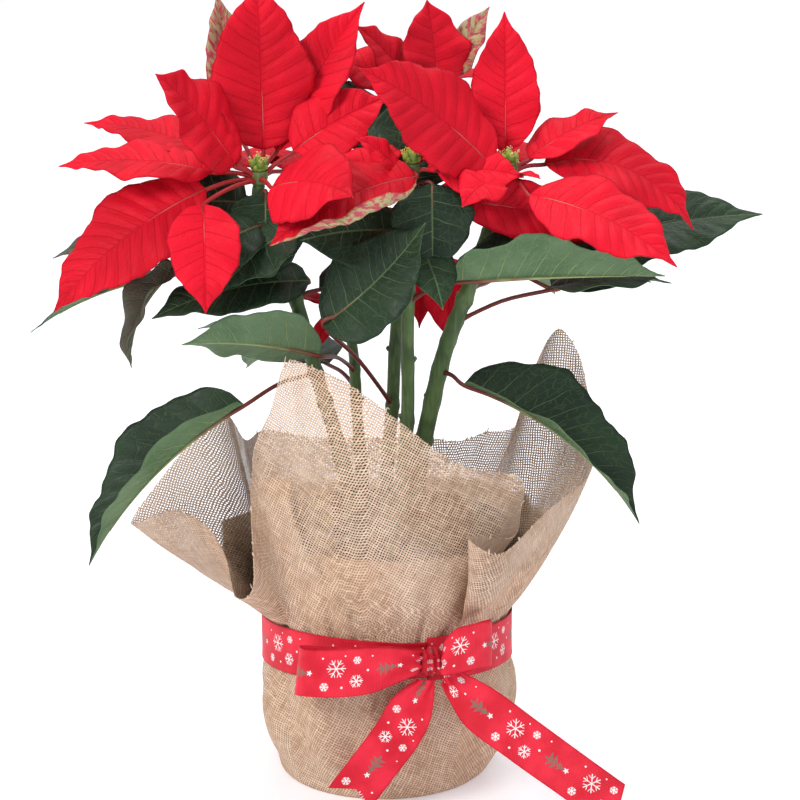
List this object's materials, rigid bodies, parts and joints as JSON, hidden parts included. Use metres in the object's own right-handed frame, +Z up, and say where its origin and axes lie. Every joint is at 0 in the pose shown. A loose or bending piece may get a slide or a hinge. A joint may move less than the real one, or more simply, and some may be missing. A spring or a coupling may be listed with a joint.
{
  "type": "potted poinsettia",
  "caption": "Red poinsettia with leafy stems in a small nursery pot, wrapped in a gathered square of hessian and tied with a red ribbon bow.",
  "frame": {"origin": "middle of the wrapped base where it rests, under the middle of the pot", "axes": "+Z up the pot's axis, against the base's outward normal; -Y towards the side with the bow; +X to the right seen from that side"},
  "size_m": [0.3878, 0.2603, 0.4246],
  "materials": {
    "pot_plastic": "thin moulded brown-black plastic, matt",
    "soil": "moist peat compost, coarse and matt",
    "hessian": "open plain weave of natural jute yarn, undyed",
    "ribbon": "cross-ribbed woven ribbon with a soft sheen and small printed motifs",
    "leaf_green": "living leaf, satin on top, dull underneath, pale veins",
    "bract_red": "living bract, velvety red with darker veins",
    "cyathia_yellow_green": "small fleshy flower cups, yellow-green"
  },
  "bodies": {
    "root": {"pot": "pot_plastic", "soil": "soil", "hessian_wrap": "hessian", "ribbon_band": "ribbon", "ribbon_knot": "ribbon", "ribbon_loop_left": "ribbon", "ribbon_loop_right": "ribbon", "ribbon_tail_left": "ribbon", "ribbon_tail_right": "ribbon", "stem_left": "leaf_green", "stem_low_left": "leaf_green", "stem_back": "leaf_green", "stem_centre": "leaf_green", "stem_right": "leaf_green", "bloom_left": "bract_red", "bloom_centre": "bract_red", "bloom_right": "bract_red", "bloom_back": "bract_red", "bloom_low_left": "bract_red", "bloom_low_back": "bract_red", "cyathia_left": "cyathia_yellow_green", "cyathia_centre": "cyathia_yellow_green", "cyathia_right": "cyathia_yellow_green", "cyathia_back": "cyathia_yellow_green", "cyathia_low_left": "cyathia_yellow_green", "cyathia_low_back": "cyathia_yellow_green"}
  },
  "joints": []
}
